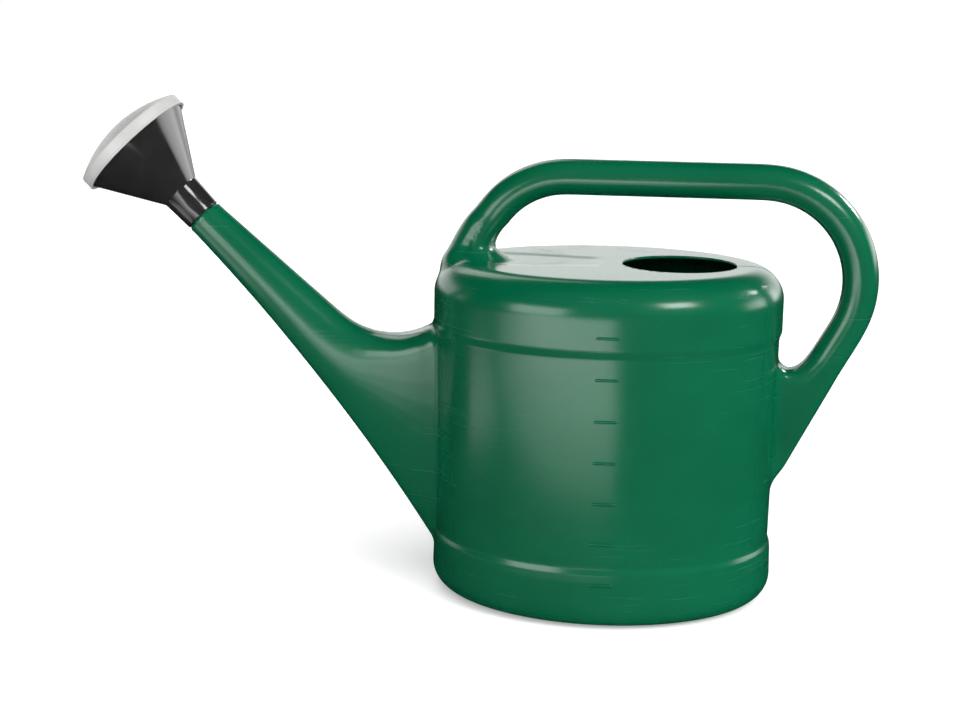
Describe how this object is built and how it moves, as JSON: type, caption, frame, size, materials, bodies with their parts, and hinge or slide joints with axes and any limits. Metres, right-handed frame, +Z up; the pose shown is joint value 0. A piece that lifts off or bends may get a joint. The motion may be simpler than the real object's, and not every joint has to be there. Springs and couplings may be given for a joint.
{
  "type": "watering can",
  "caption": "Oval blow-moulded garden watering can with a long webbed spout, a loop handle over a round filler opening, and a push-on sprinkler rose with a domed cap.",
  "frame": {"origin": "centre of the oval barrel's base, on the surface that the can stands on", "axes": "+X towards the back of the handle, -X towards the rose, +Z up, so +Y is away from the side with the level marks"},
  "size_m": [0.5441, 0.1997, 0.3344],
  "materials": {
    "can_plastic": "dark green blow-moulded polyethylene, satin gloss with fine scuffs round the wall",
    "cone_plastic": "black injection-moulded plastic, glossy",
    "cap_plastic": "off-white injection-moulded plastic, satin"
  },
  "bodies": {
    "can": {"reservoir": "can_plastic", "spout": "can_plastic", "handle": "can_plastic"},
    "rose": {"rose_cone": "cone_plastic"},
    "cap": {"rose_cap": "cap_plastic"}
  },
  "joints": [
    {"name": "rose_pull_off", "type": "slide", "parent": "can", "child": "rose", "axis": [-0.7034, 0, 0.7108], "range_m": [0, 0.03]},
    {"name": "cap_pull_off", "type": "slide", "parent": "rose", "child": "cap", "axis": [-0.7034, 0, 0.7108], "range_m": [0, 0.025]}
  ]
}
